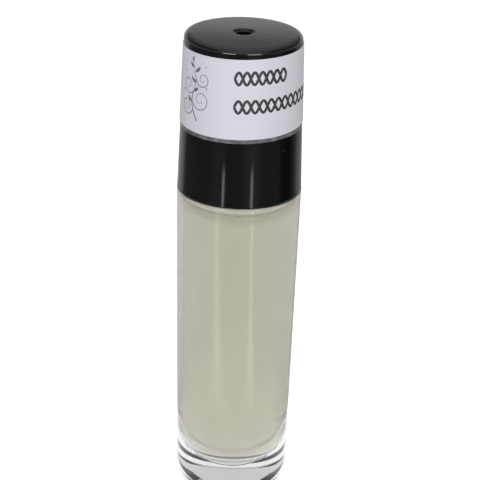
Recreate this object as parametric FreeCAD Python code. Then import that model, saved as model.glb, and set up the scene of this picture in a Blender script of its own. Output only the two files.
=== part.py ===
import FreeCAD, Part
import math
import os

# A roll-on bottle for perfume oil: a heavy-based glass bottle with a screw neck, a snap-in
# housing that holds a rolling ball, and a tapered screw cap that wears a wrapped paper label.
# Millimetres and degrees. The origin is the centre of the foot, +Z is up, the front is -Y.

# Glass bottle
BODY_DIAMETER = 20.7
BODY_WALL = 2.2
SHOULDER_HEIGHT = 60.1
SHOULDER_WALL = 2.4
SHOULDER_ROUND = 0.35
SHOULDER_LEDGE = 3.25
HEEL_ROUND = 2.4
BASE_THICKNESS = 4.4
CAVITY_FLOOR_FLAT_DIAMETER = 0.5
CAVITY_ROOF_ROUND = 1.6
FOOT_RING_WIDTH = 1.9
PUNT_DEPTH = 0.6
PUNT_SLOPE_WIDTH = 1.6
NECK_HEIGHT = 11.9
NECK_WALL = 1.5
NECK_ROOT_ROUND = 0.8
RIM_ROUND = 0.5
BORE_EDGE_ROUND = 0.3

# Screw thread, one section for the neck's ridge and the cap's ridge
THREAD_PITCH = 3.0
THREAD_DEPTH = 0.85
THREAD_ROOT_WIDTH = 1.5
THREAD_CREST_WIDTH = 0.7
THREAD_CLEARANCE = 0.25
THREAD_FLANK_GAP = 0.15
THREAD_FADE_TURNS = 0.15
THREAD_SINK = 0.15
THREAD_SECTIONS_PER_TURN = 24
NECK_THREAD_START = 3.5
NECK_THREAD_TURNS = 1.5
CAP_THREAD_TURNS = 1.25
CAP_THREAD_FIRST_TURN = -0.25

# Rolling ball and its housing
BALL_CENTRE_RISE = 0.8
BALL_CLEARANCE = 0.08
HOUSING_WALL = 0.67
HOUSING_BORE_CLEARANCE = 0.1
HOUSING_LIP_RISE = 1.9
HOUSING_LIP_WALL = 0.8
HOUSING_COLLAR_WALL = 1.3
HOUSING_FLANGE_INSET = 0.2
HOUSING_FLANGE_THICKNESS = 1.0
HOUSING_EDGE_ROUND = 0.2
HOUSING_SEAT_THICKNESS = 0.9
HOUSING_SKIRT_DEPTH = 1.6
HOUSING_SKIRT_WALL = 1.2
HOUSING_BEAD_WIDTH = 0.8
HOUSING_BEAD_SQUEEZE = 0.08
HOUSING_BEAD_INSET = 1.6
FEED_SEAT_WIDTH = 2.43
FEED_SLOT_WIDTH = 1.2
FEED_SLOT_SETBACK = 1.43
FEED_SLOT_COUNT = 4
OIL_HEADSPACE = 3.0

# Screw cap
CAP_HEIGHT = 25.5
CAP_STEP = 0.04
CAP_DRAFT = 2.36
CAP_WALL = 1.7
CAP_ROOF = 1.8
CAP_RIM_GAP = 0.1
CAP_EDGE_ROUND = 0.8
CAP_LIP_ROUND = 0.15
CAP_ENTRY_CHAMFER = 0.4
CAP_ROOF_ROUND = 0.6
GATE_DIAMETER = 3.5
GATE_DEPTH = 0.25
GATE_SLOPE_WIDTH = 0.15
GATE_EDGE_ROUND = 0.1
GATE_WELL_DIAMETER = 2.4
GATE_WELL_DEPTH = 0.75
GATE_STUB_DIAMETER = 0.9
GATE_STUB_HEIGHT = 0.4

# Sealing plug, held in a socket ring under the cap's roof
PLUG_FLANGE_INSET = 0.35
PLUG_LEDGE = 1.45
PLUG_CLEARANCE = 0.06
PLUG_FLANGE_THICKNESS = 1.4
PLUG_CUP_DEPTH = 0.6
PLUG_SEAL_GAP = 0.05
PLUG_TOP_GAP = 0.4
PLUG_BEAD_HEIGHT = 0.25
PLUG_BEAD_WIDTH = 0.8
PLUG_BEAD_RISE = 1.8
PLUG_EDGE_ROUND = 0.2
SOCKET_WALL = 1.2

# Paper label and the clear film over it, both wrapped round the cap
LABEL_HEIGHT = 12.45
LABEL_LENGTH = 44.45
LABEL_THICKNESS = 0.1
LABEL_TOP_MARGIN = 1.5
LABEL_TILT = 1.1
LABEL_START = -102.0
FILM_THICKNESS = 0.05
FILM_MARGIN = 0.6

# Sizes that follow from the ones above
BODY_RADIUS = BODY_DIAMETER / 2
CAVITY_RADIUS = BODY_RADIUS - BODY_WALL
CAVITY_FLOOR_ROUND = CAVITY_RADIUS - CAVITY_FLOOR_FLAT_DIAMETER / 2
CAVITY_ROOF_HEIGHT = SHOULDER_HEIGHT - SHOULDER_WALL
PUNT_RADIUS = BODY_RADIUS - HEEL_ROUND - FOOT_RING_WIDTH
RIM_HEIGHT = SHOULDER_HEIGHT + NECK_HEIGHT
NECK_RADIUS = BODY_RADIUS - SHOULDER_LEDGE
BORE_RADIUS = NECK_RADIUS - NECK_WALL
HOUSING_PLUG_RADIUS = BORE_RADIUS - HOUSING_BORE_CLEARANCE
SOCKET_RADIUS = HOUSING_PLUG_RADIUS - HOUSING_WALL
BALL_RADIUS = SOCKET_RADIUS - BALL_CLEARANCE
BALL_HEIGHT = RIM_HEIGHT + BALL_CENTRE_RISE
BALL_TOP = BALL_HEIGHT + BALL_RADIUS
FEED_BORE_RADIUS = SOCKET_RADIUS - FEED_SEAT_WIDTH
FEED_SLOT_REACH = SOCKET_RADIUS - FEED_SLOT_SETBACK
SKIRT_ROOF = BALL_HEIGHT - SOCKET_RADIUS - HOUSING_SEAT_THICKNESS
HOUSING_BOTTOM = SKIRT_ROOF - HOUSING_SKIRT_DEPTH
FLANGE_TOP = RIM_HEIGHT + HOUSING_FLANGE_THICKNESS
OIL_LEVEL = HOUSING_BOTTOM - OIL_HEADSPACE
CAP_BOTTOM = SHOULDER_HEIGHT + CAP_RIM_GAP
CAP_TOP = CAP_BOTTOM + CAP_HEIGHT
CAP_ROOF_HEIGHT = CAP_TOP - CAP_ROOF
CAP_BORE_RADIUS = NECK_RADIUS + THREAD_DEPTH + THREAD_CLEARANCE
PLUG_BOTTOM = BALL_TOP - PLUG_CUP_DEPTH
PLUG_FLANGE_TOP = PLUG_BOTTOM + PLUG_FLANGE_THICKNESS
PLUG_FLANGE_RADIUS = BALL_RADIUS - PLUG_FLANGE_INSET
PLUG_STEM_RADIUS = PLUG_FLANGE_RADIUS - PLUG_LEDGE
PLUG_BEAD_CENTRE = PLUG_FLANGE_TOP + PLUG_BEAD_RISE
LABEL_TOP = CAP_TOP - LABEL_TOP_MARGIN
LABEL_BOTTOM = LABEL_TOP - LABEL_HEIGHT

ORIGIN = FreeCAD.Vector(0, 0, 0)
UP = FreeCAD.Vector(0, 0, 1)
ACROSS = FreeCAD.Vector(0, 1, 0)
FULL_TURN = 360.0


def profile_point(radius, height):
    """A point of a turned profile, in the plane through the axis."""
    return FreeCAD.Vector(radius, 0, height)


def corner_round(before, corner, after, radius):
    """The start, middle and end of the arc that rounds one corner of a profile."""
    back = (before - corner).normalize()
    ahead = (after - corner).normalize()
    half_angle = back.getAngle(ahead) / 2
    start = corner + back * (radius / math.tan(half_angle))
    end = corner + ahead * (radius / math.tan(half_angle))
    inward = (back + ahead).normalize()
    centre = corner + inward * (radius / math.sin(half_angle))
    return start, centre - inward * radius, end


def turned(outline, angle=FULL_TURN):
    """Turn a closed outline of (radius, height, optional corner round) points about the axis."""
    corners = [profile_point(*point[:2]) for point in outline]
    rounds = [point[2] if len(point) > 2 else 0 for point in outline]
    arcs = []
    for index, corner in enumerate(corners):
        if rounds[index]:
            after = corners[(index + 1) % len(corners)]
            arcs.append(corner_round(corners[index - 1], corner, after, rounds[index]))
        else:
            arcs.append((corner, corner, corner))
    edges = []
    for index, (start, middle, end) in enumerate(arcs):
        if rounds[index]:
            edges.append(Part.Arc(start, middle, end).toShape())
        next_start = arcs[(index + 1) % len(arcs)][0]
        edges.append(Part.LineSegment(end, next_start).toShape())
    return Part.Face(Part.Wire(edges)).revolve(ORIGIN, UP, angle)


def ball_space(radius):
    """A sphere about the rolling ball's centre."""
    return Part.makeSphere(radius, FreeCAD.Vector(0, 0, BALL_HEIGHT))


def thread_ridge(root_radius, outward, first_turn, turns, zero_height):
    """A helical ridge on a wall at root_radius, fading into the wall at both ends."""
    steps = math.ceil(turns * THREAD_SECTIONS_PER_TURN)
    buried = root_radius - outward * THREAD_SINK
    flush = root_radius - outward * THREAD_SINK / 2
    crest = root_radius + outward * THREAD_DEPTH
    sections = []
    for step in range(steps + 1):
        along = turns * step / steps
        turn = first_turn + along
        fade = min(1.0, along / THREAD_FADE_TURNS, (turns - along) / THREAD_FADE_TURNS)
        reach = flush + (crest - flush) * fade
        height = zero_height + THREAD_PITCH * turn
        corners = [
            profile_point(buried, height - THREAD_ROOT_WIDTH / 2),
            profile_point(reach, height - THREAD_CREST_WIDTH / 2),
            profile_point(reach, height + THREAD_CREST_WIDTH / 2),
            profile_point(buried, height + THREAD_ROOT_WIDTH / 2),
        ]
        section = Part.makePolygon(corners + corners[:1])
        section.rotate(ORIGIN, UP, FULL_TURN * turn)
        sections.append(section)
    return Part.makeLoft(sections, True)


def ridge_offset():
    """How far the cap's ridge lies under the neck's ridge, flank beside flank."""
    narrowing = (THREAD_ROOT_WIDTH - THREAD_CREST_WIDTH) / 2 / THREAD_DEPTH
    touching = THREAD_ROOT_WIDTH - narrowing * (CAP_BORE_RADIUS - NECK_RADIUS)
    return touching + THREAD_FLANK_GAP


def cavity_outline():
    """The inside of the bottle, from the floor's centre up to the foot of the bore."""
    return [
        (0, BASE_THICKNESS),
        (CAVITY_RADIUS, BASE_THICKNESS, CAVITY_FLOOR_ROUND),
        (CAVITY_RADIUS, CAVITY_ROOF_HEIGHT, CAVITY_ROOF_ROUND),
        (BORE_RADIUS, CAVITY_ROOF_HEIGHT, BORE_EDGE_ROUND),
    ]


def glass_bottle():
    """The bottle, with a punt under its heavy base and a threaded neck."""
    outside = [
        (0, PUNT_DEPTH),
        (PUNT_RADIUS - PUNT_SLOPE_WIDTH, PUNT_DEPTH, PUNT_SLOPE_WIDTH),
        (PUNT_RADIUS, 0, PUNT_DEPTH),
        (BODY_RADIUS, 0, HEEL_ROUND),
        (BODY_RADIUS, SHOULDER_HEIGHT, SHOULDER_ROUND),
        (NECK_RADIUS, SHOULDER_HEIGHT, NECK_ROOT_ROUND),
        (NECK_RADIUS, RIM_HEIGHT, RIM_ROUND),
        (BORE_RADIUS, RIM_HEIGHT, BORE_EDGE_ROUND),
    ]
    glass = turned(outside + cavity_outline()[::-1])
    start = SHOULDER_HEIGHT + NECK_THREAD_START
    return glass.fuse(thread_ridge(NECK_RADIUS, 1, 0, NECK_THREAD_TURNS, start))


def perfume_oil():
    """The oil, which fills the bottle to a level inside the neck."""
    surface = [(BORE_RADIUS, OIL_LEVEL), (0, OIL_LEVEL)]
    return turned(cavity_outline() + surface)


def roller_ball():
    """The ball that rolls the oil on."""
    return ball_space(BALL_RADIUS)


def housing_bead(height):
    """A ring round the housing's plug that the glass bore squeezes."""
    tip = BORE_RADIUS + HOUSING_BEAD_SQUEEZE
    inside = HOUSING_PLUG_RADIUS - HOUSING_WALL / 2
    half = HOUSING_BEAD_WIDTH / 2
    return turned([(inside, height - half), (tip, height), (inside, height + half)])


def feed_slots():
    """Slots through the ball's seat that let the oil reach the ball."""
    slot_top = BALL_HEIGHT - math.sqrt(SOCKET_RADIUS**2 - FEED_SLOT_REACH**2)
    corner = FreeCAD.Vector(0, -FEED_SLOT_WIDTH / 2, SKIRT_ROOF)
    slots = []
    for index in range(FEED_SLOT_COUNT):
        slot = Part.makeBox(FEED_SLOT_REACH, FEED_SLOT_WIDTH, slot_top - SKIRT_ROOF, corner)
        slot.rotate(ORIGIN, UP, FULL_TURN * index / FEED_SLOT_COUNT)
        slots.append(slot)
    return slots


def ball_housing():
    """The soft plastic housing, pressed into the neck, whose lip keeps the ball in."""
    skirt_bore = HOUSING_PLUG_RADIUS - HOUSING_SKIRT_WALL
    flange_radius = NECK_RADIUS - HOUSING_FLANGE_INSET
    lip_height = BALL_HEIGHT + HOUSING_LIP_RISE
    lip_radius = math.sqrt(SOCKET_RADIUS**2 - HOUSING_LIP_RISE**2) + HOUSING_LIP_WALL
    body = turned([
        (0, SKIRT_ROOF),
        (skirt_bore, SKIRT_ROOF),
        (skirt_bore, HOUSING_BOTTOM),
        (HOUSING_PLUG_RADIUS, HOUSING_BOTTOM, HOUSING_EDGE_ROUND),
        (HOUSING_PLUG_RADIUS, RIM_HEIGHT),
        (flange_radius, RIM_HEIGHT, HOUSING_EDGE_ROUND),
        (flange_radius, FLANGE_TOP, HOUSING_EDGE_ROUND),
        (SOCKET_RADIUS + HOUSING_COLLAR_WALL, FLANGE_TOP),
        (lip_radius, lip_height, HOUSING_EDGE_ROUND),
        (0, lip_height),
    ])
    low_bead = housing_bead(HOUSING_BOTTOM + HOUSING_BEAD_INSET)
    high_bead = housing_bead(RIM_HEIGHT - HOUSING_BEAD_INSET)
    feed = Part.makeCylinder(FEED_BORE_RADIUS, BALL_HEIGHT - SKIRT_ROOF, FreeCAD.Vector(0, 0, SKIRT_ROOF))
    return body.fuse([low_bead, high_bead]).cut([ball_space(SOCKET_RADIUS), feed] + feed_slots())


def cap_radius(height):
    """The cap's outer radius, which narrows upwards with the draft."""
    return BODY_RADIUS - CAP_STEP - (height - CAP_BOTTOM) * math.tan(math.radians(CAP_DRAFT))


def stem_groove():
    """The socket's groove round the plug's bead, from the bottom upwards."""
    bore = PLUG_STEM_RADIUS + PLUG_CLEARANCE
    half = PLUG_BEAD_WIDTH / 2 + PLUG_CLEARANCE
    return [
        (bore, PLUG_BEAD_CENTRE - half),
        (bore + PLUG_BEAD_HEIGHT, PLUG_BEAD_CENTRE),
        (bore, PLUG_BEAD_CENTRE + half),
    ]


def screw_cap():
    """The cap: a tapered shell with a thread, a gate mark on top and a socket for the plug."""
    gate_floor = CAP_TOP - GATE_DEPTH
    well_floor = gate_floor - GATE_WELL_DEPTH
    stub_top = well_floor + GATE_STUB_HEIGHT
    stub_radius = GATE_STUB_DIAMETER / 2
    well_radius = GATE_WELL_DIAMETER / 2
    gate_radius = GATE_DIAMETER / 2
    stem_bore = PLUG_STEM_RADIUS + PLUG_CLEARANCE
    socket_radius = stem_bore + SOCKET_WALL
    socket_bottom = PLUG_FLANGE_TOP + PLUG_CLEARANCE
    shell = turned([
        (0, stub_top),
        (stub_radius, stub_top),
        (stub_radius, well_floor),
        (well_radius, well_floor),
        (well_radius, gate_floor),
        (gate_radius - GATE_SLOPE_WIDTH, gate_floor),
        (gate_radius, CAP_TOP, GATE_EDGE_ROUND),
        (cap_radius(CAP_TOP), CAP_TOP, CAP_EDGE_ROUND),
        (cap_radius(CAP_BOTTOM), CAP_BOTTOM, CAP_LIP_ROUND),
        (CAP_BORE_RADIUS + CAP_ENTRY_CHAMFER, CAP_BOTTOM),
        (CAP_BORE_RADIUS, CAP_BOTTOM + CAP_ENTRY_CHAMFER),
        (CAP_BORE_RADIUS, FLANGE_TOP),
        (cap_radius(CAP_ROOF_HEIGHT) - CAP_WALL, CAP_ROOF_HEIGHT, CAP_ROOF_ROUND),
        (socket_radius, CAP_ROOF_HEIGHT, CAP_ROOF_ROUND),
        (socket_radius, socket_bottom),
        (stem_bore, socket_bottom),
        *stem_groove(),
        (stem_bore, CAP_ROOF_HEIGHT),
        (0, CAP_ROOF_HEIGHT),
    ])
    start = SHOULDER_HEIGHT + NECK_THREAD_START - ridge_offset()
    ridge = thread_ridge(CAP_BORE_RADIUS, -1, CAP_THREAD_FIRST_TURN, CAP_THREAD_TURNS, start)
    return shell.fuse(ridge)


def sealing_plug():
    """The soft plug that seals the ball from above, free to turn in the cap's socket."""
    stem_top = CAP_ROOF_HEIGHT - PLUG_TOP_GAP
    plug = turned([
        (0, PLUG_BOTTOM),
        (PLUG_FLANGE_RADIUS, PLUG_BOTTOM, PLUG_EDGE_ROUND),
        (PLUG_FLANGE_RADIUS, PLUG_FLANGE_TOP, PLUG_EDGE_ROUND),
        (PLUG_STEM_RADIUS, PLUG_FLANGE_TOP),
        (PLUG_STEM_RADIUS, PLUG_BEAD_CENTRE - PLUG_BEAD_WIDTH / 2),
        (PLUG_STEM_RADIUS + PLUG_BEAD_HEIGHT, PLUG_BEAD_CENTRE),
        (PLUG_STEM_RADIUS, PLUG_BEAD_CENTRE + PLUG_BEAD_WIDTH / 2),
        (PLUG_STEM_RADIUS, stem_top, PLUG_EDGE_ROUND),
        (0, stem_top),
    ])
    return plug.cut(ball_space(BALL_RADIUS + PLUG_SEAL_GAP))


def tilted_slab(low, high):
    """The space between two parallel planes that lean with the label."""
    side = 2 * BODY_DIAMETER
    slab = Part.makeBox(side, side, high - low, FreeCAD.Vector(-side / 2, -side / 2, low))
    slab.rotate(FreeCAD.Vector(0, 0, (LABEL_BOTTOM + LABEL_TOP) / 2), ACROSS, -LABEL_TILT)
    return slab


def wrapped_band(lift, thickness, low, high):
    """A thin band of the label's length, wrapped on the cap's taper from the label's start."""
    outline = [
        (cap_radius(CAP_BOTTOM) + lift, CAP_BOTTOM),
        (cap_radius(CAP_BOTTOM) + lift + thickness, CAP_BOTTOM),
        (cap_radius(CAP_TOP) + lift + thickness, CAP_TOP),
        (cap_radius(CAP_TOP) + lift, CAP_TOP),
    ]
    sweep = math.degrees(LABEL_LENGTH / cap_radius((LABEL_BOTTOM + LABEL_TOP) / 2))
    band = turned(outline, sweep)
    band.rotate(ORIGIN, UP, LABEL_START - FULL_TURN / 4)
    return band.common(tilted_slab(low, high))


def paper_label():
    """The paper label, part of the way round the cap."""
    return wrapped_band(0, LABEL_THICKNESS, LABEL_BOTTOM, LABEL_TOP)


def label_film():
    """The clear film over the label, with a margin below it."""
    return wrapped_band(LABEL_THICKNESS, FILM_THICKNESS, LABEL_BOTTOM - FILM_MARGIN, LABEL_TOP)


PIECES = {
    "glass_bottle": glass_bottle,
    "perfume_oil": perfume_oil,
    "ball_housing": ball_housing,
    "roller_ball": roller_ball,
    "screw_cap": screw_cap,
    "sealing_plug": sealing_plug,
    "paper_label": paper_label,
    "label_film": label_film,
}

os.makedirs("parts", exist_ok=True)
for name, make in PIECES.items():
    shape = make()
    shape.exportStep(f"parts/{name}.step")
    print(f"{name}: {len(shape.Solids)} solid, valid {shape.isValid()}, {shape.Volume:.2f} mm3")
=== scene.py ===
"""Looks of a roll-on perfume bottle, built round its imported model.

Sizes are in millimetres and angles in degrees until a mesh is made; meshes are in metres,
with +Z up, the front towards -Y and the origin at the centre of the bottle's foot.
"""

import logging
import math
from dataclasses import dataclass, field
from enum import Enum
from typing import Any, Sequence, Union

import bpy
from mathutils import Matrix, Vector


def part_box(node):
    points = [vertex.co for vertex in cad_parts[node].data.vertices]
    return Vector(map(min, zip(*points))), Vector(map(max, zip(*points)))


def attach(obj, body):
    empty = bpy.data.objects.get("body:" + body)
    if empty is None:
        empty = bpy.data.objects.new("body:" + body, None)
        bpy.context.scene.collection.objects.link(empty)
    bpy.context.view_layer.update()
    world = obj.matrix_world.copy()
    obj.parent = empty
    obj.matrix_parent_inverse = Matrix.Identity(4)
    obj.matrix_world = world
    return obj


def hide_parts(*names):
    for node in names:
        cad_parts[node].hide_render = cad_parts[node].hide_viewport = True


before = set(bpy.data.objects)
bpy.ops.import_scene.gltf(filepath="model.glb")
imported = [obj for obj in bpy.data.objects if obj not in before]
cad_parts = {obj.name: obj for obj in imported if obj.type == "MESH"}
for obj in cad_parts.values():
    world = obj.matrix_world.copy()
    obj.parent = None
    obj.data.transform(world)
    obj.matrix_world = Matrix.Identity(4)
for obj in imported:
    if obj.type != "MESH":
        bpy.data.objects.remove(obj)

LOG = logging.getLogger("roll_on_bottle")
MM = 0.001
FULL_TURN = 360.0
MERGE_DISTANCE = 1e-7
SMOOTH_ANGLE = math.radians(32)
RGB = tuple[float, float, float]
Span = tuple[float, float]
Point = tuple[float, float]
WHITE: RGB = (1.0, 1.0, 1.0)
BLACK: RGB = (0.0, 0.0, 0.0)


class Body(Enum):
    """The moving bodies that new pieces ride on."""

    BOTTLE = "bottle"
    CAP = "cap"


class Rays(Enum):
    """The Light Path outputs that see the stage's pale background."""

    CAMERA = "Is Camera Ray"
    GLOSSY = "Is Glossy Ray"
    TRANSMISSION = "Is Transmission Ray"


class Sight(Enum):
    """The ways in which a lamp or a card of the stage can be seen."""

    CAMERA = "visible_camera"
    DIFFUSE = "visible_diffuse"
    GLOSSY = "visible_glossy"
    TRANSMISSION = "visible_transmission"
    SHADOW = "visible_shadow"

    def hide(self, obj: bpy.types.Object) -> None:
        """Keep an object from being seen in this way."""
        setattr(obj, self.value, False)


# Frame sizes


def node_top(node: str) -> float:
    """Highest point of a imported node, in millimetres."""
    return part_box(node)[1].z / MM


def node_bottom(node: str) -> float:
    """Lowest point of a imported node, in millimetres."""
    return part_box(node)[0].z / MM


def node_radius(node: str) -> float:
    """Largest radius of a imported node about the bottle's axis, in millimetres."""
    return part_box(node)[1].x / MM


# Mesh tools


@dataclass(frozen=True)
class Corner:
    """A corner of a turned outline: radius, height and rounding, in millimetres."""

    radius: float
    height: float
    round: float = 0.0

    def place(self) -> Vector:
        """The corner as a point in the plane through the axis, in metres."""
        return Vector((self.radius, 0.0, self.height)) * MM


class Bench:
    """Helpers that act on one mesh at a time."""

    @staticmethod
    def clear_selection() -> None:
        """Leave edit mode and deselect every object."""
        if bpy.context.mode != "OBJECT":
            bpy.ops.object.mode_set(mode="OBJECT")
        bpy.ops.object.select_all(action="DESELECT")

    @staticmethod
    def hold(obj: bpy.types.Object) -> None:
        """Make one object the only selected and active one.

        Args:
            obj: the object to work on.
        """
        Bench.clear_selection()
        obj.select_set(True)
        bpy.context.view_layer.objects.active = obj

    @staticmethod
    def small_plane(name: str) -> bpy.types.Object:
        """A small plane at the origin, as the start of a piece.

        Args:
            name: the name of the object and its mesh.

        Returns:
            The plane, selected and active.
        """
        Bench.clear_selection()
        bpy.ops.mesh.primitive_plane_add(size=MM, location=(0, 0, 0))
        obj = bpy.context.active_object
        obj.name = name
        obj.data.name = name
        return obj

    @staticmethod
    def edit_all() -> None:
        """Select the whole of the active mesh in edit mode."""
        bpy.ops.object.mode_set(mode="EDIT")
        bpy.ops.mesh.select_all(action="SELECT")

    @staticmethod
    def close_mesh(fill: bool) -> None:
        """Turn the faces of the mesh in edit mode outwards and leave edit mode.

        Args:
            fill: whether open ends are filled first.
        """
        bpy.ops.mesh.select_all(action="SELECT")
        if fill:
            bpy.ops.mesh.fill_holes(sides=0)
            bpy.ops.mesh.select_all(action="SELECT")
        bpy.ops.mesh.normals_make_consistent(inside=False)
        bpy.ops.object.mode_set(mode="OBJECT")

    @staticmethod
    def smooth(obj: bpy.types.Object) -> None:
        """Shade an object smooth, but for its sharp edges.

        Args:
            obj: the object to shade.
        """
        Bench.hold(obj)
        bpy.ops.object.shade_smooth_by_angle(angle=SMOOTH_ANGLE)
        Bench.apply(obj, "WEIGHTED_NORMAL", mode="FACE_AREA", keep_sharp=True)

    @staticmethod
    def apply(obj: bpy.types.Object, kind: str, **settings: Any) -> None:
        """Add a modifier with its settings and apply it.

        Args:
            obj: the object to change.
            kind: the modifier's type.
            settings: the modifier's properties.
        """
        Bench.hold(obj)
        modifier = obj.modifiers.new(kind.lower(), kind)
        for key, value in settings.items():
            setattr(modifier, key, value)
        bpy.ops.object.modifier_apply(modifier=modifier.name)

    @staticmethod
    def unite(obj: bpy.types.Object, other: bpy.types.Object) -> None:
        """Add another closed mesh to an object, and remove the other.

        Args:
            obj: the object that stays.
            other: the object that is added.
        """
        Bench.apply(obj, "BOOLEAN", operation="UNION", object=other, solver="EXACT")
        bpy.data.objects.remove(other)


@dataclass(frozen=True)
class Lathe:
    """Turns outlines about the bottle's axis with extrude and spin."""

    steps: int = 192
    arc_segments: int = 8

    def outline(self, corners: Sequence[Corner], closed: bool) -> list[Vector]:
        """The outline's points, with its round corners as arcs.

        Args:
            corners: the outline's corners, in order.
            closed: whether the last corner joins the first.

        Returns:
            The points, in metres.
        """
        points: list[Vector] = []
        count = len(corners)
        for index, corner in enumerate(corners):
            here = corner.place()
            if not corner.round:
                points.append(here)
                continue
            back = (corners[index - 1].place() - here).normalized()
            ahead = (corners[(index + 1) % count].place() - here).normalized()
            points.extend(self.arc(here, back, ahead, corner.round * MM))
        return points + points[:1] if closed else points

    def arc(self, here: Vector, back: Vector, ahead: Vector, radius: float) -> list[Vector]:
        """The points of the arc that rounds one corner.

        Args:
            here: the corner.
            back: unit direction towards the corner before.
            ahead: unit direction towards the corner after.
            radius: the arc's radius, in metres.

        Returns:
            The arc's points, from the side before to the side after.
        """
        half = back.angle(ahead) / 2
        inward = (back + ahead).normalized()
        centre = here + inward * (radius / math.sin(half))
        start = (here + back * (radius / math.tan(half)) - centre).normalized()
        end = (here + ahead * (radius / math.tan(half)) - centre).normalized()
        shares = (step / self.arc_segments for step in range(self.arc_segments + 1))
        return [centre + start.slerp(end, share) * radius for share in shares]

    def turn(
        self,
        name: str,
        corners: Sequence[Corner],
        closed: bool = False,
        start: float = 0.0,
        sweep: float = FULL_TURN,
    ) -> bpy.types.Object:
        """Draw an outline by extruding a point, and spin it into a mesh.

        Args:
            name: the object's name.
            corners: the outline's corners.
            closed: whether the outline is a ring.
            start: the angle at which the spin starts, in degrees from +X.
            sweep: the angle of the spin, in degrees.

        Returns:
            The new object.
        """
        turn = Matrix.Rotation(math.radians(start), 4, "Z")
        path = [turn @ point for point in self.outline(corners, closed)]
        obj = Bench.small_plane(name)
        Bench.edit_all()
        bpy.ops.mesh.merge(type="CENTER")
        bpy.ops.transform.translate(value=path[0])
        for before, after in zip(path, path[1:]):
            bpy.ops.mesh.extrude_region_move(TRANSFORM_OT_translate={"value": after - before})
        bpy.ops.mesh.select_all(action="SELECT")
        steps = round(self.steps * sweep / FULL_TURN)
        bpy.ops.mesh.spin(
            steps=steps, angle=-math.radians(sweep), center=(0, 0, 0), axis=(0, 0, 1)
        )
        bpy.ops.mesh.select_all(action="SELECT")
        bpy.ops.mesh.remove_doubles(threshold=MERGE_DISTANCE)
        Bench.close_mesh(fill=sweep < FULL_TURN)
        return obj


@dataclass(frozen=True)
class Thread:
    """A helical ridge with faded ends, in millimetres and turns."""

    root_radius: float
    outward: int
    zero_height: float
    first_turn: float
    turns: float
    pitch: float = 3.0
    depth: float = 0.85
    root_width: float = 1.5
    crest_width: float = 0.7
    fade_turns: float = 0.15
    sink: float = 0.15
    steps_per_turn: int = 72

    @property
    def crest(self) -> float:
        """The radius of the ridge's crest."""
        return self.root_radius + self.outward * self.depth

    def section(self) -> list[Vector]:
        """The ridge's section where it starts.

        Returns:
            Four points in the order of a new plane's corners, in metres.
        """
        height = self.zero_height + self.pitch * self.first_turn
        buried = self.root_radius - self.outward * self.sink
        corners = (
            Corner(buried, height - self.root_width / 2),
            Corner(self.crest, height - self.crest_width / 2),
            Corner(buried, height + self.root_width / 2),
            Corner(self.crest, height + self.crest_width / 2),
        )
        turn = Matrix.Rotation(math.tau * self.first_turn, 4, "Z")
        return [turn @ corner.place() for corner in corners]

    def build(self, name: str) -> bpy.types.Object:
        """Draw the ridge's section, wind it with Screw and fade its ends.

        Args:
            name: the object's name.

        Returns:
            The ridge as a closed mesh, for uniting with its wall.
        """
        obj = Bench.small_plane(name)
        for vertex, place in zip(obj.data.vertices, self.section()):
            vertex.co = place
        Bench.edit_all()
        bpy.ops.mesh.delete(type="ONLY_FACE")
        bpy.ops.object.mode_set(mode="OBJECT")
        steps = round(self.steps_per_turn * self.turns)
        Bench.apply(
            obj,
            "SCREW",
            axis="Z",
            angle=math.tau * self.turns,
            screw_offset=self.pitch * self.turns * MM,
            steps=steps,
            render_steps=steps,
        )
        self.fade(obj)
        Bench.hold(obj)
        Bench.edit_all()
        Bench.close_mesh(fill=True)
        return obj

    def fade(self, obj: bpy.types.Object) -> None:
        """Sink the crest into the wall towards both ends of the ridge.

        Args:
            obj: the wound ridge.
        """
        flush = self.root_radius - self.outward * self.sink / 2
        for vertex in obj.data.vertices:
            radius = vertex.co.xy.length / MM
            if abs(radius - self.crest) > self.depth / 2:
                continue
            angle = math.atan2(vertex.co.y, vertex.co.x) / math.tau
            winding = (vertex.co.z / MM - self.zero_height) / self.pitch
            along = angle + round(winding - angle) - self.first_turn
            share = min(1.0, along / self.fade_turns, (self.turns - along) / self.fade_turns)
            reach = flush + (self.crest - flush) * max(0.0, share)
            vertex.co.xy *= reach / radius


# Shader tools

Input = Union["Value", float, RGB, bpy.types.NodeSocket]

# A Mix node has sockets of the same names for several types; these are its colour sockets
MIX_FIRST = 6
MIX_SECOND = 7
MIX_RESULT = 2


class Value:
    """A socket of numbers that can be used in Python expressions."""

    def __init__(self, nodes: "Nodes", socket: bpy.types.NodeSocket) -> None:
        """Wrap an output socket of a node builder's tree."""
        self.nodes = nodes
        self.socket = socket

    def math(self, operation: str, *others: Input) -> "Value":
        """A Math node of this value and others."""
        return self.nodes.math(operation, self, *others)

    def __add__(self, other: Input) -> "Value":
        """self + other."""
        return self.math("ADD", other)

    def __radd__(self, other: Input) -> "Value":
        """other + self."""
        return self.nodes.math("ADD", other, self)

    def __sub__(self, other: Input) -> "Value":
        """self - other."""
        return self.math("SUBTRACT", other)

    def __rsub__(self, other: Input) -> "Value":
        """other - self."""
        return self.nodes.math("SUBTRACT", other, self)

    def __mul__(self, other: Input) -> "Value":
        """self * other."""
        return self.math("MULTIPLY", other)

    def __rmul__(self, other: Input) -> "Value":
        """other * self."""
        return self.nodes.math("MULTIPLY", other, self)

    def largest(self, other: Input) -> "Value":
        """The larger of two values."""
        return self.math("MAXIMUM", other)

    def between(self, low: float, high: float) -> "Value":
        """A smooth step from 0 at low to 1 at high."""
        return self.nodes.get(
            "ShaderNodeMapRange",
            {"interpolation_type": "SMOOTHSTEP"},
            {"Value": self, "From Min": low, "From Max": high},
        )


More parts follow.
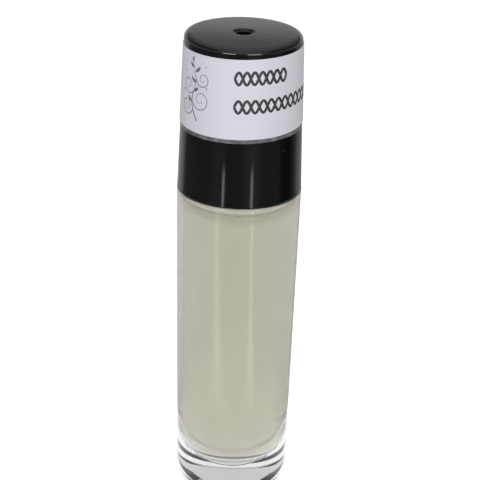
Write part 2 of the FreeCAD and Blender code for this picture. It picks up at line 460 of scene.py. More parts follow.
class Nodes:
    """Builds the nodes of one material or world."""

    def __init__(self, tree: bpy.types.NodeTree) -> None:
        """Empty a node tree, to fill it."""
        self.tree = tree
        tree.nodes.clear()

    def add(
        self,
        kind: str,
        settings: dict[str, Any] | None = None,
        inputs: dict[Any, Input] | None = None,
    ) -> bpy.types.Node:
        """Add a node, set its properties, then its inputs.

        Args:
            kind: the node's type.
            settings: the node's properties.
            inputs: values or links by socket name or number.

        Returns:
            The new node.
        """
        node = self.tree.nodes.new(kind)
        for key, value in (settings or {}).items():
            setattr(node, key, value)
        for key, value in (inputs or {}).items():
            self.feed(node.inputs[key], value)
        return node

    def get(
        self,
        kind: str,
        settings: dict[str, Any] | None = None,
        inputs: dict[Any, Input] | None = None,
        output: Any = 0,
    ) -> Value:
        """Add a node, as add does, and wrap the output of a name or number."""
        return Value(self, self.add(kind, settings, inputs).outputs[output])

    def feed(self, target: bpy.types.NodeSocket, value: Input) -> None:
        """Link a value to an input, or set the input to a constant.

        Args:
            target: the input socket.
            value: a value, an output socket, a number or a colour.
        """
        if isinstance(value, Value):
            self.tree.links.new(value.socket, target)
        elif isinstance(value, bpy.types.NodeSocket):
            self.tree.links.new(value, target)
        elif target.type == "RGBA" and len(value) == 3:
            target.default_value = (*value, 1.0)
        else:
            target.default_value = value

    def math(self, operation: str, *operands: Input) -> Value:
        """A Math node of numbers and values."""
        inputs = dict(enumerate(operands))
        return self.get("ShaderNodeMath", {"operation": operation}, inputs)

    def mix(self, share: Input, first: Input, second: Input) -> Value:
        """A colour between two, by a share from 0 to 1."""
        inputs = {"Factor": share, MIX_FIRST: first, MIX_SECOND: second}
        return self.get("ShaderNodeMix", {"data_type": "RGBA"}, inputs, output=MIX_RESULT)

    def place(self, scale: RGB = (1.0, 1.0, 1.0)) -> Value:
        """Object coordinates in millimetres.

        Args:
            scale: how much they are stretched along each axis.

        Returns:
            The coordinates.
        """
        coordinates = self.get("ShaderNodeTexCoord", output="Object")
        per_mm = tuple(axis / MM for axis in scale)
        return self.get("ShaderNodeMapping", inputs={"Vector": coordinates, "Scale": per_mm})

    def axes(self, vector: Value) -> tuple[Value, ...]:
        """The X, Y and Z of a vector."""
        parts = self.add("ShaderNodeSeparateXYZ", inputs={0: vector})
        return tuple(Value(self, output) for output in parts.outputs)

    def length(self, vector: Value) -> Value:
        """The length of a vector."""
        return self.get("ShaderNodeVectorMath", {"operation": "LENGTH"}, {0: vector}, "Value")

    def bump(self, height: Value, depth: float) -> Value:
        """A bumped normal from a height pattern of a depth in millimetres."""
        inputs = {"Height": height, "Distance": depth * MM, "Strength": 1.0}
        return self.get("ShaderNodeBump", inputs=inputs)

    def surface(self, shader: bpy.types.Node, volume: bpy.types.Node | None = None) -> None:
        """Join a shader, and a volume if any, to the material's output.

        Args:
            shader: the surface's shader node.
            volume: the volume's shader node.
        """
        ends = {"Surface": shader.outputs[0]}
        if volume:
            ends["Volume"] = volume.outputs[0]
        self.add("ShaderNodeOutputMaterial", inputs=ends)


def new_material(name: str) -> tuple[bpy.types.Material, Nodes]:
    """Start a material with no nodes.

    Args:
        name: the material's name.

    Returns:
        The material and the builder of its nodes.
    """
    made = bpy.data.materials.new(name)
    made.use_nodes = True
    return made, Nodes(made.node_tree)


# Finishes


@dataclass(frozen=True)
class Pattern:
    """A noise pattern: its feature size in millimetres, and the span that becomes 0 to 1."""

    size: float
    detail: float = 2.0
    rough: float = 0.5
    stretch: RGB = (1.0, 1.0, 1.0)
    span: Span | None = None

    def on(self, nodes: Nodes) -> Value:
        """The pattern over a piece.

        Args:
            nodes: the builder of the material's nodes.

        Returns:
            The pattern's value at each place.
        """
        inputs = {
            "Vector": nodes.place(self.stretch),
            "Scale": 1 / self.size,
            "Detail": self.detail,
            "Roughness": self.rough,
        }
        noise = nodes.get("ShaderNodeTexNoise", inputs=inputs)
        return noise.between(*self.span) if self.span else noise


@dataclass(frozen=True)
class Finish:
    """A named finish that makes one material."""

    name: str

    def material(self) -> bpy.types.Material:
        """Make the material.

        Returns:
            A new material with this finish's nodes.
        """
        made, nodes = new_material(self.name)
        shader = nodes.add("ShaderNodeBsdfPrincipled", inputs=self.inputs(nodes))
        nodes.surface(shader, self.volume(nodes))
        return made

    def inputs(self, nodes: Nodes) -> dict[str, Input]:
        """What feeds the shader of this finish."""
        raise NotImplementedError

    def volume(self, nodes: Nodes) -> bpy.types.Node | None:
        """The shader of what is under the surface, if any."""
        return None


@dataclass(frozen=True)
class ClearFinish(Finish):
    """A clear solid or liquid that tints the light on its way through."""

    tint: RGB
    density: float
    index: float

    def inputs(self, nodes: Nodes) -> dict[str, Input]:
        """A smooth surface that lets all light in."""
        clear = {"Base Color": WHITE, "Roughness": 0.0, "Transmission Weight": 1.0}
        return clear | {"IOR": self.index}

    def volume(self, nodes: Nodes) -> bpy.types.Node:
        """The tint, as absorption."""
        inputs = {"Color": self.tint, "Density": self.density}
        return nodes.add("ShaderNodeVolumeAbsorption", inputs=inputs)


@dataclass(frozen=True)
class ClearGlass(ClearFinish):
    """Clear flint glass with faint smears and a slightly uneven wall."""

    tint: RGB = (0.50, 0.52, 0.53)
    density: float = 32.0
    index: float = 1.5
    smears: Pattern = Pattern(4.0, detail=3.0, stretch=(1.0, 1.0, 0.25), span=(0.52, 0.8))
    smear_roughness: float = 0.05
    waves: Pattern = Pattern(9.0, detail=1.0)
    wave_depth: float = 0.004

    def inputs(self, nodes: Nodes) -> dict[str, Input]:
        """A clear surface with smeared roughness and a wavy normal.

        Args:
            nodes: the builder of the material's nodes.

        Returns:
            The shader's inputs.
        """
        return super().inputs(nodes) | {
            "Roughness": self.smears.on(nodes) * self.smear_roughness,
            "Normal": nodes.bump(self.waves.on(nodes), self.wave_depth),
        }


@dataclass(frozen=True)
class Oil(ClearFinish):
    """Pale straw-coloured perfume oil."""

    tint: RGB = (0.543, 0.509, 0.382)
    density: float = 104.0
    index: float = 1.46


@dataclass(frozen=True)
class GlossPlastic(Finish):
    """Moulded gloss plastic with sink ripples, scuffs and cloudy patches."""

    colour: RGB = (0.0034, 0.0042, 0.0048)
    index: float = 1.49
    roughness: float = 0.09
    clouds: Pattern = Pattern(2.0, detail=3.0)
    cloud_least: float = 0.7
    cloud_gain: float = 0.6
    hairs: Pattern = Pattern(0.6, detail=3.0, stretch=(0.3, 0.3, 3.0), span=(0.68, 0.76))
    patches: Pattern = Pattern(6.0, detail=1.0, span=(0.5, 0.7))
    scuff_colour: RGB = (0.04, 0.04, 0.042)
    scuff_roughness: float = 0.4
    ripples: Pattern = Pattern(5.0, stretch=(1.0, 1.0, 0.35))
    ripple_depth: float = 0.006

    def inputs(self, nodes: Nodes) -> dict[str, Input]:
        """A gloss surface with ripples in its normal and scuffs in its colour.

        Args:
            nodes: the builder of the material's nodes.

        Returns:
            The shader's inputs.
        """
        scuffs = self.hairs.on(nodes) * self.patches.on(nodes)
        gloss = self.roughness * (self.cloud_least + self.cloud_gain * self.clouds.on(nodes))
        return {
            "Base Color": nodes.mix(scuffs, self.colour, self.scuff_colour),
            "Roughness": gloss + scuffs * self.scuff_roughness,
            "IOR": self.index,
            "Normal": nodes.bump(self.ripples.on(nodes), self.ripple_depth),
        }


@dataclass(frozen=True)
class LabelPaper(Finish):
    """Coated label paper with a fine fibre mottle."""

    colour: RGB = (0.78, 0.78, 0.85)
    shade: RGB = (0.77, 0.77, 0.84)
    mottle: Pattern = Pattern(3.0, detail=4.0, rough=0.6, span=(0.4, 0.75))
    index: float = 1.45
    roughness: float = 0.55
    fibres: Pattern = Pattern(0.12, detail=3.0, rough=0.6, stretch=(1.0, 1.0, 2.0))
    fibre_roughness: float = 0.15
    fibre_depth: float = 0.004

    def inputs(self, nodes: Nodes) -> dict[str, Input]:
        """A matt surface with mottled colour and fibre bump.

        Args:
            nodes: the builder of the material's nodes.

        Returns:
            The shader's inputs.
        """
        fibres = self.fibres.on(nodes)
        return {
            "Base Color": nodes.mix(self.mottle.on(nodes), self.colour, self.shade),
            "Roughness": self.roughness + self.fibre_roughness * fibres,
            "IOR": self.index,
            "Normal": nodes.bump(fibres, self.fibre_depth),
        }


@dataclass(frozen=True)
class PrintInk(Finish):
    """Printed ink, a little uneven where the paper shows through."""

    colour: RGB
    thin: RGB
    grain: Pattern = Pattern(0.25, detail=3.0, rough=0.6)
    thin_span: Span = (0.45, 0.8)
    roughness: float = 0.5
    grain_roughness: float = 0.2

    def inputs(self, nodes: Nodes) -> dict[str, Input]:
        """A matt surface that pales where the ink is thin.

        Args:
            nodes: the builder of the material's nodes.

        Returns:
            The shader's inputs.
        """
        grain = self.grain.on(nodes)
        return {
            "Base Color": nodes.mix(grain.between(*self.thin_span), self.colour, self.thin),
            "Roughness": self.roughness + self.grain_roughness * grain,
        }


@dataclass(frozen=True)
class ClearFilm(Finish):
    """Clear satin film, hazy at the margin that has not stuck down flat."""

    edge: float
    slope: float
    edge_fade: float = 0.1
    colour: RGB = (0.8, 0.8, 0.82)
    haze: float = 0.02
    margin_haze: float = 0.16
    even_share: float = 0.4
    patches: Pattern = Pattern(1.4, span=(0.4, 0.7))
    roughness: float = 0.35
    patch_roughness: float = 0.2

    def inputs(self, nodes: Nodes) -> dict[str, Input]:
        """A thin see-through surface whose haze varies along the margin.

        Args:
            nodes: the builder of the material's nodes.

        Returns:
            The shader's inputs.
        """
        across, _, up = nodes.axes(nodes.place())
        level = up - across * self.slope
        margin = 1.0 - level.between(self.edge - self.edge_fade, self.edge + self.edge_fade)
        patches = self.patches.on(nodes)
        share = self.even_share + (1 - self.even_share) * patches
        return {
            "Base Color": self.colour,
            "Roughness": self.roughness + self.patch_roughness * patches,
            "Alpha": self.haze + margin * share * self.margin_haze,
        }


@dataclass(frozen=True)
class PolishedSteel(Finish):
    """Polished stainless steel with a film of oil smears."""

    colour: RGB = (0.66, 0.66, 0.68)
    roughness: float = 0.06
    smears: Pattern = Pattern(1.2, detail=3.0, stretch=(1.0, 2.0, 0.6), span=(0.45, 0.75))
    smear_roughness: float = 0.1

    def inputs(self, nodes: Nodes) -> dict[str, Input]:
        """A metal surface with smeared roughness.

        Args:
            nodes: the builder of the material's nodes.

        Returns:
            The shader's inputs.
        """
        return {
            "Base Color": self.colour,
            "Metallic": 1.0,
            "Roughness": self.roughness + self.smear_roughness * self.smears.on(nodes),
        }


@dataclass(frozen=True)
class SoftPlastic(Finish):
    """Natural translucent polyethylene with a satin mould texture."""

    colour: RGB = (0.80, 0.80, 0.77)
    cloud_colour: RGB = (0.70, 0.70, 0.66)
    clouds: Pattern = Pattern(2.5, detail=3.0, span=(0.35, 0.75))
    roughness: float = 0.38
    grain: Pattern = Pattern(0.15)
    grain_roughness: float = 0.1
    grain_depth: float = 0.01
    soak: float = 0.35
    soak_reach: RGB = (1.0, 0.9, 0.8)

    def inputs(self, nodes: Nodes) -> dict[str, Input]:
        """A satin surface that lets light soak in.

        Args:
            nodes: the builder of the material's nodes.

        Returns:
            The shader's inputs.
        """
        grain = self.grain.on(nodes)
        return {
            "Base Color": nodes.mix(self.clouds.on(nodes), self.colour, self.cloud_colour),
            "Roughness": self.roughness + self.grain_roughness * grain,
            "Subsurface Weight": self.soak,
            "Subsurface Radius": self.soak_reach,
            "Subsurface Scale": MM,
            "Normal": nodes.bump(grain, self.grain_depth),
        }


def wear(obj: bpy.types.Object, finish: Finish) -> None:
    """Give an object one finish in place of its materials.

    Args:
        obj: the object to dress.
        finish: the finish to use.
    """
    if obj.material_slots:
        for slot in obj.material_slots:
            slot.material = finish.material()
    else:
        obj.data.materials.append(finish.material())


# Sub-assemblies


@dataclass
class Assembly:
    """Pieces that are built and dressed together."""

    pieces: list[bpy.types.Object] = field(default_factory=list, init=False)

    def dress(self) -> None:
        """Build the pieces, finish them and set them on their bodies."""
        raise NotImplementedError

    def settle(
        self,
        piece: bpy.types.Object,
        finish: Finish,
        body: Body,
        slot: str,
        node: str | None = None,
    ) -> None:
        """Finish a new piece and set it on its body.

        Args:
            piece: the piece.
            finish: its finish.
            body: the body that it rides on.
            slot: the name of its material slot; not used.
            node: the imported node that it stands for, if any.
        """
        wear(piece, finish)
        if node:
            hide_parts(node)
        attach(piece, body.value)
        self.pieces.append(piece)


@dataclass
class GlassBottle(Assembly):
    """The glass bottle and the oil in it."""

    body_radius: float = node_radius("glass_bottle")
    rim: float = node_top("glass_bottle")
    wall: float = 2.2
    shoulder: float = 60.1
    shoulder_wall: float = 2.4
    shoulder_round: float = 0.35
    shoulder_ledge: float = 3.25
    heel_round: float = 2.4
    base: float = node_bottom("perfume_oil")
    floor_round: float = 7.9
    roof_round: float = 1.6
    foot_ring: float = 1.9
    punt: float = 0.6
    punt_slope: float = 1.6
    neck_wall: float = 1.5
    neck_root_round: float = 0.8
    rim_round: float = 0.5
    bore_round: float = 0.3
    thread_start: float = 3.5
    thread_turns: float = 1.5
    oil_level: float = node_top("perfume_oil")
    oil_overlap: float = 0.06
    lathe: Lathe = Lathe()

    def __post_init__(self) -> None:
        """Work out the neck from the body."""
        self.neck_radius = self.body_radius - self.shoulder_ledge
        self.bore_radius = self.neck_radius - self.neck_wall

    def cavity(self, grow: float = 0.0) -> list[Corner]:
        """The inside wall, from the floor's centre to the foot of the bore.

        Args:
            grow: how far the outline reaches into the glass.

        Returns:
            The outline's corners.
        """
        radius = self.body_radius - self.wall + grow
        roof = self.shoulder - self.shoulder_wall + grow
        floor = self.base - grow
        return [
            Corner(0, floor),
            Corner(radius, floor, self.floor_round + grow),
            Corner(radius, roof, self.roof_round + grow),
            Corner(self.bore_radius + grow, roof, self.bore_round),
        ]

    def build_glass(self) -> bpy.types.Object:
        """Turn the bottle, and unite the neck's thread with it.

        Returns:
            The bottle.
        """
        punt_radius = self.body_radius - self.heel_round - self.foot_ring
        outside = [
            Corner(0, self.punt),
            Corner(punt_radius - self.punt_slope, self.punt, self.punt_slope),
            Corner(punt_radius, 0, self.punt),
            Corner(self.body_radius, 0, self.heel_round),
            Corner(self.body_radius, self.shoulder, self.shoulder_round),
            Corner(self.neck_radius, self.shoulder, self.neck_root_round),
            Corner(self.neck_radius, self.rim, self.rim_round),
            Corner(self.bore_radius, self.rim, self.bore_round),
        ]
        glass = self.lathe.turn("bottle_glass", outside + self.cavity()[::-1])
        ridge = Thread(
            root_radius=self.neck_radius,
            outward=1,
            zero_height=self.shoulder + self.thread_start,
            first_turn=0.0,
            turns=self.thread_turns,
        )
        Bench.unite(glass, ridge.build("neck_thread"))
        Bench.smooth(glass)
        return glass

    def build_oil(self) -> bpy.types.Object:
        """Turn the oil: the cavity up into the neck, reaching a little into the glass.

        Returns:
            The oil.
        """
        radius = self.bore_radius + self.oil_overlap
        surface = [Corner(radius, self.oil_level), Corner(0, self.oil_level)]
        oil = self.lathe.turn("oil_fill", self.cavity(self.oil_overlap) + surface)
        Bench.smooth(oil)
        return oil

    def dress(self) -> None:
        """Build both pieces, finish them and set them on the bottle's body."""
        glass, oil = self.build_glass(), self.build_oil()
        self.settle(glass, ClearGlass("clear_glass"), Body.BOTTLE, "clear_glass", "glass_bottle")
        self.settle(oil, Oil("perfume_oil"), Body.BOTTLE, "perfume_oil", "perfume_oil")


@dataclass
class ScrewCap(Assembly):
    """The tapered screw cap, with its thread and the socket for the plug."""

    bottom: float = node_bottom("screw_cap")
    top: float = node_top("screw_cap")
    bottom_radius: float = node_radius("screw_cap")
    draft: float = 2.36
    wall: float = 1.7
    roof: float = 1.8
    edge_round: float = 0.8
    crown: float = 0.05
    crown_rings: int = 10
    lip_round: float = 0.15
    entry_chamfer: float = 0.4
    roof_round: float = 0.6
    bore_radius: float = 8.2
    straight_bore_top: float = 73.0
    gate_radius: float = 1.75
    gate_depth: float = 0.25
    gate_slope: float = 0.15
    gate_round: float = 0.08
    well_radius: float = 1.2
    well_depth: float = 0.75
    stub_radius: float = 0.45
    stub_height: float = 0.4
    stem_bore: float = 3.01
    socket_wall: float = 1.2
    socket_bottom: float = 78.41
    bead_centre: float = 80.15
    bead_half: float = 0.46
    bead_height: float = 0.25
    thread_zero: float = 62.467
    thread_first: float = -0.25
    thread_turns: float = 1.25
    lathe: Lathe = Lathe(steps=224)

    def radius(self, height: float) -> float:
        """The outer radius at a height, in millimetres."""
        return self.bottom_radius - (height - self.bottom) * math.tan(math.radians(self.draft))

    def corners(self) -> list[Corner]:
        """The cap's outline, from the gate mark round to the roof's underside.

        Returns:
            The outline's corners.
        """
        gate_floor = self.top - self.gate_depth
        well_floor = gate_floor - self.well_depth
        stub_top = well_floor + self.stub_height
        roof = self.top - self.roof
        socket = self.stem_bore + self.socket_wall
        return [
            Corner(0, stub_top),
            Corner(self.stub_radius, stub_top, self.gate_round),
            Corner(self.stub_radius, well_floor, self.gate_round),
            Corner(self.well_radius, well_floor, self.gate_round),
            Corner(self.well_radius, gate_floor, self.gate_round),
            Corner(self.gate_radius - self.gate_slope, gate_floor, self.gate_round),
            Corner(self.gate_radius, self.top, self.gate_round),
            *self.crown_corners(),
            Corner(self.radius(self.top), self.top - self.crown, self.edge_round),
            Corner(self.bottom_radius, self.bottom, self.lip_round),
            Corner(self.bore_radius + self.entry_chamfer, self.bottom),
            Corner(self.bore_radius, self.bottom + self.entry_chamfer),
            Corner(self.bore_radius, self.straight_bore_top),
            Corner(self.radius(roof) - self.wall, roof, self.roof_round),
            Corner(socket, roof, self.roof_round),
            Corner(socket, self.socket_bottom),
            Corner(self.stem_bore, self.socket_bottom),
            Corner(self.stem_bore, self.bead_centre - self.bead_half),
            Corner(self.stem_bore + self.bead_height, self.bead_centre),
            Corner(self.stem_bore, self.bead_centre + self.bead_half),
            Corner(self.stem_bore, roof),
            Corner(0, roof),
        ]

    def crown_corners(self) -> list[Corner]:
        """Rings on the top, which falls a little from the gate mark to the edge.

        Returns:
            The rings, from the gate mark outwards.
        """
        outer = self.radius(self.top)
        reach = outer - self.gate_radius - 2 * self.edge_round
        rings = []
        for ring in range(self.crown_rings + 1):
            radius = self.gate_radius + self.edge_round / 2 + reach * ring / self.crown_rings
            rings.append(Corner(radius, self.top - self.crown * (radius / outer) ** 2))
        return rings

    def build(self) -> bpy.types.Object:
        """Turn the cap, and unite its inside thread with it.

        Returns:
            The cap.
        """
        cap = self.lathe.turn("cap_shell", self.corners())
        ridge = Thread(
            root_radius=self.bore_radius,
            outward=-1,
            zero_height=self.thread_zero,
            first_turn=self.thread_first,
            turns=self.thread_turns,
        )
        Bench.unite(cap, ridge.build("cap_thread"))
        Bench.smooth(cap)
        return cap

    def dress(self) -> None:
        """Build the cap, finish it and set it on its body."""
        finish = GlossPlastic("black_polypropylene")
        self.settle(self.build(), finish, Body.CAP, "black_polypropylene", "screw_cap")


class Taper(Enum):
    """How a pen stroke's width runs from its start to its end.

    The values are the share of the full width at the thin end.
    """

    EVEN = 1.0
    TAIL = 0.3
    LEAF = 0.06

    def share(self, along: float) -> float:
        """The share of the full width at a place along the stroke.

        Args:
            along: the place, from 0 to 1.

        Returns:
            The share, from 0 to 1.
        """
        belly = 0.8
        swell = math.sin(math.pi * along**belly) if self is Taper.LEAF else 1 - along
        return self.value + (1 - self.value) * swell


@dataclass(frozen=True)
class Stroke:
    """A pen stroke on the flat label: its path and full width, in millimetres."""

    path: tuple[Point, ...]
    width: float
    taper: Taper = Taper.EVEN

    def draw(self, curve: bpy.types.Curve) -> None:
        """Add the stroke to a curve.

        Args:
            curve: the curve whose bevel gives a width of 1 mm.
        """
        last = len(self.path) - 1
        spline = curve.splines.new("NURBS")
        spline.points.add(last)
        for index, (point, (along, up)) in enumerate(zip(spline.points, self.path)):
            point.co = (along * MM, up * MM, 0.0, 1.0)
            point.radius = self.width * self.taper.share(index / last)
        spline.order_u = 3
        spline.use_endpoint_u = True
        spline.resolution_u = 3


@dataclass(frozen=True)
class Sprig:
    """A plain pen-drawn sprig: a stem with curls, leaves and seeds.

    A curl is its start on the stem, its centre and its turns, and a leaf or a seed is its
    start, direction and length.
    """

    left: float = -11.6
    bottom: float = 1.9
    scale: float = 0.86
    line: float = 0.16
    stem_line: float = 0.24
    curl_steps: int = 36
    curl_shrink: float = 0.16
    curl_ease: float = 0.8
    leaf_width: float = 0.54
    leaf_length: float = 1.7
    leaf_bend: float = 18.0
    leaf_steps: int = 8
    stem_points: tuple[Point, ...] = (
        (4.9, 0.0),
        (3.6, 1.9),
        (3.3, 4.2),
        (4.4, 6.4),
        (4.3, 8.6),
        (3.5, 10.6),
    )
    curls: tuple[tuple[Point, Point, float], ...] = (
        ((3.7, 1.7), (1.9, 2.3), -1.6),
        ((3.3, 3.9), (5.6, 4.1), 1.5),
        ((4.2, 5.9), (2.3, 6.3), -1.5),
        ((4.45, 7.7), (6.1, 7.9), 1.5),
    )
    leaves: tuple[tuple[Point, float, float], ...] = (
        ((3.35, 3.2), 150, 1.6),
        ((3.9, 5.4), 20, 1.5),
        ((4.4, 7.0), 160, 1.6),
        ((4.2, 9.0), 25, 1.7),
        ((3.9, 9.7), 165, 1.5),
        ((3.5, 10.5), 100, 1.3),
    )
    seeds: tuple[tuple[Point, float, float], ...] = (
        ((0.7, 4.6), 95, 0.6),
        ((7.0, 6.1), 80, 0.6),
        ((1.1, 8.2), 100, 0.55),
        ((6.6, 10.0), 70, 0.55),
    )

    def place(self, across: float, up: float) -> Point:
        """A point of the sprig as a place on the label."""
        return (self.left + across * self.scale, self.bottom + up * self.scale)

    def beside(self, centre: Point, reach: float, turn: float) -> Point:
        """The place on the label at a reach and an angle, in radians, from a point."""
        across, up = reach * math.cos(turn), reach * math.sin(turn)
        return self.place(centre[0] + across, centre[1] + up)

    def stem(self) -> Stroke:
        """The stem, thick at the foot."""
        points = tuple(self.place(*point) for point in self.stem_points)
        return Stroke(points, self.stem_line, Taper.TAIL)

    def curl(self, start: Point, centre: Point, turns: float) -> Stroke:
        """A curl that leaves the stem and winds in round a centre.

        Args:
            start: where it leaves the stem.
            centre: the middle of the curl.
            turns: how far it winds, counter-clockwise when positive.

        Returns:
            The curl's stroke.
        """
        across, up = start[0] - centre[0], start[1] - centre[1]
        reach, angle = math.hypot(across, up), math.atan2(up, across)
        path = []
        for step in range(self.curl_steps + 1):
            share = step / self.curl_steps
            radius = reach * (1 - (1 - self.curl_shrink) * share**self.curl_ease)
            path.append(self.beside(centre, radius, angle + math.tau * turns * share))
        return Stroke(tuple(path), self.line, Taper.TAIL)

    def leaf(self, start: Point, angle: float, length: float) -> Stroke:
        """A leaf or a seed that bends a little upwards.

        Args:
            start: where its stalk begins.
            angle: its direction, in degrees from the right.
            length: its length.

        Returns:
            The leaf's stroke.
        """
        bend = self.leaf_bend if abs(angle) < FULL_TURN / 4 else -self.leaf_bend
        path = []
        for step in range(self.leaf_steps + 1):
            share = step / self.leaf_steps
            path.append(self.beside(start, length * share, math.radians(angle + bend * share)))
        return Stroke(tuple(path), self.leaf_width * length / self.leaf_length, Taper.LEAF)

    def strokes(self) -> list[Stroke]:
        """Every stroke of the sprig."""
        curls = [self.curl(*curl) for curl in self.curls]
        return [self.stem(), *curls, *(self.leaf(*leaf) for leaf in self.leaves + self.seeds)]


@dataclass(frozen=True)
class Braids:
    """Two plain braids of two strands each, one above the other along the label."""

    start: float = -1.1
    heights: tuple[float, float] = (9.6, 5.2)
    lengths: tuple[float, float] = (8.4, 15.2)
    wave: float = 2.5
    rise: float = 0.95
    width: float = 0.42
    spacing: float = 0.12

    def strand(self, height: float, length: float, side: int) -> Stroke:
        """One strand of a braid, which starts and ends on its middle line.

        Args:
            height: the middle line's height.
            length: the braid's length.
            side: 1 for the strand that starts upwards, -1 for the other.

        Returns:
            The strand's stroke.
        """
        crossings = round(2 * length / self.wave)
        count = round(length / self.spacing)
        path = []
        for step in range(count + 1):
            share = step / count
            swing = side * self.rise * math.sin(math.pi * crossings * share)
            path.append((self.start + length * share, height + swing))
        return Stroke(tuple(path), self.width)

    def strokes(self) -> list[Stroke]:
        """Every strand of both braids."""
        rows = zip(self.heights, self.lengths)
        return [self.strand(height, length, side) for height, length in rows for side in (-1, 1)]


@dataclass
class WrappedLabel(Assembly):
    """The paper label, its print and the clear film over it."""

    cap: ScrewCap
    height: float = 12.45
    length: float = 44.45
    thickness: float = 0.1
    top_margin: float = 1.5
    tilt: float = 1.1
    start: float = -102.0
    film_thickness: float = 0.05
    film_gap: float = 0.01
    film_margin: float = 0.6
    ink_thickness: float = 0.006
    sprig: Sprig = Sprig()
    sprig_ink: PrintInk = PrintInk("grey_ink", (0.13, 0.125, 0.145), (0.30, 0.29, 0.33))
    braids: Braids = Braids()
    braid_ink: PrintInk = PrintInk("dark_ink", (0.008, 0.008, 0.012), (0.03, 0.028, 0.036))
    lathe: Lathe = Lathe(steps=224)

    def __post_init__(self) -> None:
        """Work out the label's place from the cap."""
        self.top = self.cap.top - self.top_margin
        self.bottom = self.top - self.height
        self.slope = math.tan(math.radians(self.tilt))
        self.middle_radius = self.cap.radius((self.top + self.bottom) / 2)

    def band(self, name: str, lift: float, thickness: float, low: float) -> bpy.types.Object:
        """A thin band wrapped on the cap, leaning with the label.

        Args:
            name: the object's name.
            lift: how far the band lies off the cap.
            thickness: the band's thickness.
            low: the height of the band's lower edge.

        Returns:
            The band.
        """
        corners = [
            Corner(self.cap.radius(low) + lift, low),
            Corner(self.cap.radius(low) + lift + thickness, low),
            Corner(self.cap.radius(self.top) + lift + thickness, self.top),
            Corner(self.cap.radius(self.top) + lift, self.top),
        ]
        sweep = math.degrees(self.length / self.middle_radius)
        band = self.lathe.turn(name, corners, True, self.start - FULL_TURN / 4, sweep)
        self.lean(band)
        Bench.smooth(band)
        return band

    def lean(self, obj: bpy.types.Object) -> None:
        """Tilt a piece that is wrapped level, as the label is wrapped crooked."""
        for vertex in obj.data.vertices:
            vertex.co.z += vertex.co.x * self.slope

    def ink(self, name: str, strokes: Sequence[Stroke]) -> bpy.types.Object:
        """Pen strokes as a thin layer of ink between the label and its film.

        Args:
            name: the object's name.
            strokes: the strokes to draw.

        Returns:
            The ink, wrapped on the label.
        """
        Bench.clear_selection()
        bpy.ops.curve.primitive_nurbs_path_add(location=(0, 0, 0))
        ink = bpy.context.active_object
        ink.name = name
        ink.data.name = name
        ink.data.splines.clear()
        ink.data.bevel_depth = MM / 2
        ink.data.bevel_resolution = 1
        ink.data.use_fill_caps = True
        for stroke in strokes:
            stroke.draw(ink.data)
        bpy.ops.object.convert(target="MESH")
        self.wrap(ink)
        self.lean(ink)
        Bench.smooth(ink)
        return ink

    def wrap(self, obj: bpy.types.Object) -> None:
        """Flatten a drawing that lies in the level plane and wrap it on the label.

        Args:
            obj: the drawing, with its front at zero and its foot at the label's lower edge.
        """
        thickest = max(vertex.co.z for vertex in obj.data.vertices) / MM
        flat = self.ink_thickness / 2 / thickest
        for vertex in obj.data.vertices:
            along, up, out = vertex.co / MM
            height = self.bottom + up
            rise = self.thickness + self.film_gap / 2 + out * flat
            radius = self.cap.radius(height) + rise
            turn = along / self.middle_radius - math.pi / 2
            place = (radius * math.cos(turn), radius * math.sin(turn), height)
            vertex.co = Vector(place) * MM

    def dress(self) -> None:
        """Build the label, its film and its print, finish them and set them on the cap."""
        paper = self.band("label_paper", 0.0, self.thickness, self.bottom)
        self.settle(paper, LabelPaper("label_paper"), Body.CAP, "label_paper", "paper_label")
        film = self.band(
            "label_film_clear",
            self.thickness + self.film_gap,
            self.film_thickness,
            self.bottom - self.film_margin,
        )
        haze = ClearFilm("clear_film", self.bottom, self.slope)
        self.settle(film, haze, Body.CAP, "clear_film", "label_film")
        ornament = self.ink("label_ornament", self.sprig.strokes())
        self.settle(ornament, self.sprig_ink, Body.CAP, "label_paper")
        braids = self.ink("label_braids", self.braids.strokes())
        self.settle(braids, self.braid_ink, Body.CAP, "label_paper")


@dataclass
class RollerFitment(Assembly):
    """The ball, its housing and the sealing plug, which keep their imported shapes."""

    housing: Finish = SoftPlastic("natural_polyethylene")
    ball: Finish = PolishedSteel("polished_steel")
    plug: Finish = SoftPlastic("soft_polyethylene", colour=(0.74, 0.74, 0.72))

    def dress(self) -> None:
        """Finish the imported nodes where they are."""
        finishes = {
            "ball_housing": self.housing,
            "roller_ball": self.ball,
            "sealing_plug": self.plug,
        }
        for node, finish in finishes.items():
            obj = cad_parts[node]
            wear(obj, finish)
            self.pieces.append(obj)


# Stage


